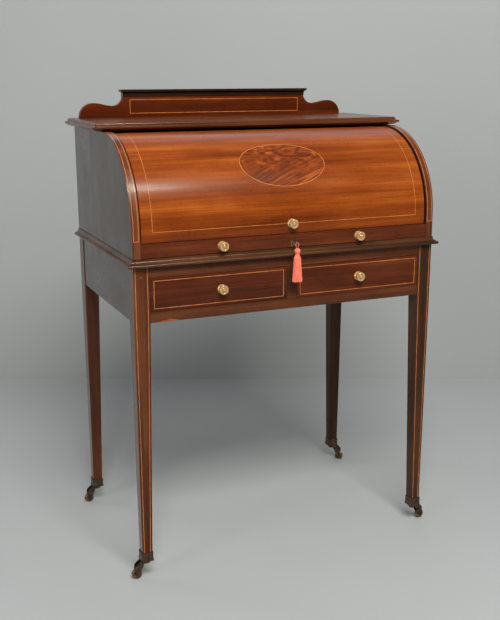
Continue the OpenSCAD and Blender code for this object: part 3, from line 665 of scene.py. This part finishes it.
def fall_oval(flame, border):
    """The oval of flame veneer in the fall, with its border line."""
    middle = math.radians(41.7)
    half_x = 107 * MM
    half_angle = math.radians(17.5)
    border_w = 1.5 * MM
    edge = ellipse(half_x, half_angle, middle)
    inside = ellipse(half_x - border_w, half_angle - border_w / fall_r, middle)
    verts, faces = band(edge, inside, on_fall)
    mesh_piece("oval_border", verts, faces, border, "cylinder", smooth=True)
    rings = 16
    verts = [on_fall(0, middle, STRING_PROUD)]
    for ring in range(1, rings + 1):
        share = ring / rings
        loop = ellipse((half_x - border_w) * share, (half_angle - border_w / fall_r) * share, middle)
        verts += [on_fall(u, v, STRING_PROUD) for u, v in loop]
    n = len(inside)
    faces = [(0, 1 + i, 1 + (i + 1) % n) for i in range(n)]
    for ring in range(rings - 1):
        a = 1 + ring * n
        b = a + n
        faces += [(a + i, b + i, b + (i + 1) % n, a + (i + 1) % n) for i in range(n)]
    mesh_piece("oval_veneer", verts, faces, flame, "cylinder", smooth=True)


def marks_of_age(plug_wood, pale_wood):
    """A plug near the top of the left front leg, and a split-off chip under the bottom rail."""
    plug_x = -362 * MM
    plug_z = 719.6 * MM
    plug_r = 2.6 * MM
    turns = [math.pi * i / 10 for i in range(20)]
    edge = [(plug_x + plug_r * math.cos(t), plug_z + plug_r * math.sin(t)) for t in turns]
    verts = [on_plane(leg_edges(z)[2])(x, z, STRING_PROUD) for x, z in edge]
    mesh_piece("leg_plug", verts, [tuple(range(len(edge)))], plug_wood, "carcase")
    low = rail_z + 0.3 * MM
    outline = [
        (-323, 0), (-300, 0), (-274, 0), (-277, 1.8),
        (-289, 3.6), (-298, 5.4), (-306, 3.2), (-318, 2.2),
    ]
    verts = [(x * MM, front_y - STRING_PROUD, low + z * MM) for x, z in outline]
    mesh_piece("rail_chip", verts, [tuple(range(len(outline)))], pale_wood, "carcase")


def leather_tooling(gold):
    """Two gold lines tooled round the writing leather."""
    low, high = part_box("slide_leather")

    def place(x, y, lift):
        return (x, y, high.z + lift)

    for word, inset in (("outer", 12 * MM), ("inner", 17 * MM)):
        rect = (low.x + inset, low.y + inset, high.x - inset, high.y - inset)
        verts, faces = frame_band(*rect, place)
        mesh_piece(f"tooling_{word}", verts, faces, gold, "writing_slide")


# ---- tassel ----

# The tassel cord's route from the tassel's top, in millimetres: up on the right from the
# top of the skirt, in through the key's bow, and down again on the left
CORD_ROUTE = [
    (1.6, 0, -22), (1.6, 0, -18), (1.6, 0, -14), (1.6, 0, -10), (1.6, 0, -6), (1.6, 0, -3),
    (1.6, 0, -1.5), (1.8, 0, 0.8), (2.3, -0.2, 3.2), (2.9, -0.1, 5.6), (3.4, 0.4, 7.9),
    (3.6, 1.6, 10), (3.1, 3.4, 11.3), (2, 5, 11), (1, 5.9, 10), (0, 6.2, 9),
    (-1, 5.9, 8.1), (-2, 5, 7.1), (-2.9, 3.6, 6.1), (-3.3, 2, 5), (-3, 0.8, 3.4),
    (-2.4, 0.2, 1.6), (-1.8, 0, 0), (-1.6, 0, -1.5),
    (-1.6, 0, -3), (-1.6, 0, -6), (-1.6, 0, -10), (-1.6, 0, -14), (-1.6, 0, -18), (-1.6, 0, -22),
]


def smooth_line(points, steps):
    """A Catmull-Rom curve through the points."""
    padded = [points[0], *points, points[-1]]
    line = []
    for a, b, c, d in zip(padded, padded[1:], padded[2:], padded[3:]):
        for i in range(steps):
            t = i / steps
            line.append(0.5 * (2 * b + (c - a) * t + (2 * a - 5 * b + 4 * c - d) * t * t
                               + (3 * b - a - 3 * c + d) * t ** 3))
    return [*line, points[-1]]


def length_of(line):
    return sum((b - a).length for a, b in zip(line, line[1:]))


def tassel_cord(mat):
    line = smooth_line([tassel_at + MM * Vector(p) for p in CORD_ROUTE], 6)
    cord = curve_piece("cord_loop", [line], CORD_D / 2, mat, "tassel")
    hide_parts("tassel_cord")
    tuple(line[0])
    length_of(line)


def tassel_head(mat):
    """The ball and bound neck, wound with upright threads."""
    profile = [
        (1.2, -0.5), (3.6, -1), (6, -2.9), (7.1, -6),
        (6.7, -9), (5.3, -11.6), (4.2, -13.4), (4.6, -15.2),
    ]
    sides = 132
    threads = 44
    verts = []
    for radius, z in profile:
        for i in range(sides):
            turn = 2 * math.pi * i / sides
            r = radius * (0.96 + 0.04 * math.cos(threads * turn))
            verts.append(tassel_at + MM * Vector((r * math.cos(turn), r * math.sin(turn), z)))
    faces = [tuple(range(sides))]
    for row in range(len(profile) - 1):
        for i in range(sides):
            j = (i + 1) % sides
            a = row * sides
            faces.append((a + i, a + sides + i, a + sides + j, a + j))
    faces.append(tuple(range(len(verts) - 1, len(verts) - sides - 1, -1)))
    return mesh_piece("tassel_head", verts, faces, mat, "tassel", smooth=True)


def tassel_binding(mat):
    """Thread wound round the neck."""
    turns = 5
    per_turn = 28
    pitch = 0.75
    top = -12
    r = 4.5
    line = []
    for i in range(turns * per_turn + 1):
        turn = 2 * math.pi * i / per_turn
        z = top - pitch * i / per_turn
        line.append(tassel_at + MM * Vector((r * math.cos(turn), r * math.sin(turn), z)))
    return curve_piece("tassel_binding", [line], BINDING_R, mat, "tassel")


def tassel_skirt(mat):
    """Two layers of hanging threads, each a little different in length and wave."""
    draw = random.Random(5)
    top = -14.5
    lines = []
    for count, reach in ((72, 1.0), (48, 0.74), (24, 0.42)):
        for k in range(count):
            turn = 2 * math.pi * (k + draw.uniform(-0.3, 0.3)) / count
            hem = -77.2 - draw.uniform(-1.4, 0.5)
            wave = draw.uniform(-0.22, 0.22)
            phase = draw.uniform(0, 6)
            line = []
            for i in range(15):
                t = i / 14
                z = top + (hem - top) * t
                spread = 4.3 + 3.2 * min(1, t * 7) ** 0.8 + 4.3 * t
                r = reach * spread + wave * math.sin(5 * t + phase) - 0.55
                a = turn + 0.05 * wave * t
                line.append(tassel_at + MM * Vector((r * math.cos(a), r * math.sin(a), z)))
            lines.append(line)
    return curve_piece("tassel_skirt", lines, SKIRT_THREAD_R, mat, "tassel")


def make_tassel(mat):
    parts = [tassel_head(mat), tassel_binding(mat), tassel_skirt(mat)]
    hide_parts("tassel")
    tassel_cord(mat)


# ---- floor and light ----

FLOOR_GREY = (0.4, 0.415, 0.415)
WALL_GREY = (0.4, 0.413, 0.41)
# How far the wall stands from the camera, half its width, and its height
WALL_DISTANCE = 3.517
WALL_HALF = 1.7
WALL_TOP = 1.65


def studio_grey(paint, see_through):
    """Pale grey paint. A see-through wall can't be seen from behind, so that it doesn't
    stand in front of the desk's back."""
    mat, tree, shader = new_material("studio_grey")
    coords = add(tree, "TexCoord").outputs["Object"]
    tone = noise(tree, coords, (1.2, 1.2, 1.2), 4)
    pale = ramp(tree, tone, [(0.3, tuple(0.96 * c for c in paint)), (0.7, paint)])
    tree.links.new(pale, shader.inputs["Base Color"])
    shader.inputs["Roughness"].default_value = 0.6
    shader.inputs["Specular IOR Level"].default_value = 0.2
    if see_through:
        clear = add(tree, "BsdfTransparent")
        behind = add(tree, "NewGeometry").outputs["Backfacing"]
        both = add(tree, "MixShader", {0: behind, 1: shader.outputs[0], 2: clear.outputs[0]})
        tree.links.new(both.outputs[0], tree.nodes["Material Output"].inputs["Surface"])
    return mat


def stage_mesh(name, verts, faces, mat):
    mesh = bpy.data.meshes.new(name)
    mesh.from_pydata(verts, [], faces)
    mesh.polygons.foreach_set("use_smooth", [True] * len(mesh.polygons))
    mesh.materials.append(mat)
    obj = bpy.data.objects.new(name, mesh)
    bpy.context.scene.collection.objects.link(obj)


def floor_and_backdrop():
    """A pale floor that sweeps up into a round wall, far enough out to clear every view."""
    reach = 7.0
    corner = 1.5
    wall_top = 4.5
    profile = [(0.001, 0.0), (reach - corner, 0.0)]
    for i in range(1, 13):
        a = math.radians(90 * i / 12)
        profile.append((reach - corner + corner * math.sin(a), corner - corner * math.cos(a)))
    profile.append((reach, wall_top))
    sides = 96
    turns = [2 * math.pi * i / sides for i in range(sides)]
    verts = []
    for r, z in profile:
        verts += [(r * math.cos(turn), r * math.sin(turn), z) for turn in turns]
    faces = []
    for row in range(len(profile) - 1):
        a = row * sides
        b = a + sides
        faces += [(a + i, a + (i + 1) % sides, b + (i + 1) % sides, b + i) for i in range(sides)]
    stage_mesh("studio", verts, faces, studio_grey(FLOOR_GREY, False))


def wall_behind():
    """The flat wall behind the desk, which faces the camera."""
    cam = bpy.context.scene.camera
    heading = Vector((math.sin(-cam.rotation_euler.z), math.cos(-cam.rotation_euler.z), 0))
    middle = Vector((cam.location.x, cam.location.y, 0)) + WALL_DISTANCE * heading
    along = Vector((heading.y, -heading.x, 0))
    up = Vector((0, 0, WALL_TOP))
    half = WALL_HALF * along
    verts = [middle - half, middle + half, middle + half + up, middle - half + up]
    stage_mesh("wall_behind", [tuple(v) for v in verts], [(0, 1, 2, 3)], studio_grey(WALL_GREY, True))


def softbox(name, at, aim, size, power, colour=(1, 1, 1), mirrored=True):
    """A lamp. One that isn't mirrored lights the desk but doesn't show in its polish."""
    data = bpy.data.lights.new(name, "AREA")
    data.shape = "RECTANGLE"
    data.size, data.size_y = size
    data.energy = power
    data.color = colour
    lamp = bpy.data.objects.new(name, data)
    lamp.location = at
    lamp.visible_glossy = mirrored
    lamp.rotation_euler = (Vector(aim) - Vector(at)).to_track_quat("-Z", "Y").to_euler()
    bpy.context.scene.collection.objects.link(lamp)
    return lamp


def light_scene():
    middle = (0, 0, 0.75)
    softbox("front_high", (-0.5, -2.7, 3.6), middle, (2.0, 1.3), 185, (1, 0.98, 0.95), mirrored=False)
    softbox("front_low", (-0.6, -3.4, 1.9), middle, (2.4, 1.2), 14, mirrored=False)
    softbox("left_window", (-3.4, -1.6, 1.7), middle, (0.9, 1.6), 22, (1, 0.97, 0.93))
    softbox("right_fill", (3.0, -1.6, 1.9), middle, (1.6, 1.8), 8)
    softbox("overhead", (0, 0.2, 3.8), middle, (3.0, 2.6), 12, mirrored=False)
    softbox("back_high", (1.2, 2.9, 3.6), middle, (2.0, 1.0), 50, mirrored=False)
    softbox("back_left", (-2.6, 2.6, 2.2), middle, (1.2, 1.2), 18, mirrored=False)
    softbox("back_right", (3.2, 1.3, 2.0), middle, (1.4, 1.4), 20, mirrored=False)
    softbox("back_fill", (1.15, 2.0, 2.6), middle, (2.0, 1.3), 8)
    glint = softbox("window_glint", (0.49, -2.1, 3.1), (-0.36, -0.2, 0.91), (0.34, 0.5), 40, (1, 0.93, 0.8))
    glint.visible_diffuse = False
    world = bpy.data.worlds.new("studio_air")
    world.use_nodes = True
    sky = world.node_tree.nodes["Background"]
    sky.inputs["Color"].default_value = (0.8, 0.86, 0.92, 1)
    sky.inputs["Strength"].default_value = 0.22
    bpy.context.scene.world = world
    bpy.context.scene.view_settings.view_transform = "Standard"


# ---- the desk ----

make_camera()
coral_thread = thread()
make_tassel(coral_thread)
finishes = {
    "brass": metal("worn_brass", BRASS_BRIGHT, BRASS_DULL, 0.16, 0.32, 0.46, BRASS_BARE),
    "bronze": metal("dark_bronze", (0.2, 0.13, 0.08), (0.03, 0.022, 0.018), 0.3, 0.55),
    "wheel_brass": metal("worn_wheel", (0.42, 0.28, 0.17), (0.07, 0.045, 0.03), 0.3, 0.5),
    "steel": metal("aged_steel", (0.56, 0.53, 0.48), (0.22, 0.19, 0.16), 0.22, 0.45),
}
paint_cad_nodes(finishes, leather(), coral_thread)
boxwood = stringing()
joint_dark = wood("joint_line", *((0.008, 0.005, 0.004),) * 3, "Z")
leg_stringing(boxwood)
arch_stringing(boxwood, joint_dark)
drawer_stringing(boxwood)
gallery_stringing(boxwood)
fall_stringing(boxwood)
fall_oval(flame_veneer(), boxwood)
plug_tones = ((0.1, 0.045, 0.02), (0.16, 0.075, 0.03), (0.24, 0.11, 0.045))
chip_tones = ((0.2, 0.05, 0.012), (0.32, 0.085, 0.02), (0.45, 0.15, 0.04))
marks_of_age(wood("plug", *plug_tones), wood("chip", *chip_tones))
leather_tooling(metal("gold_leaf", (0.9, 0.66, 0.28), (0.6, 0.4, 0.15), 0.25, 0.4))
floor_and_backdrop()
wall_behind()
light_scene()
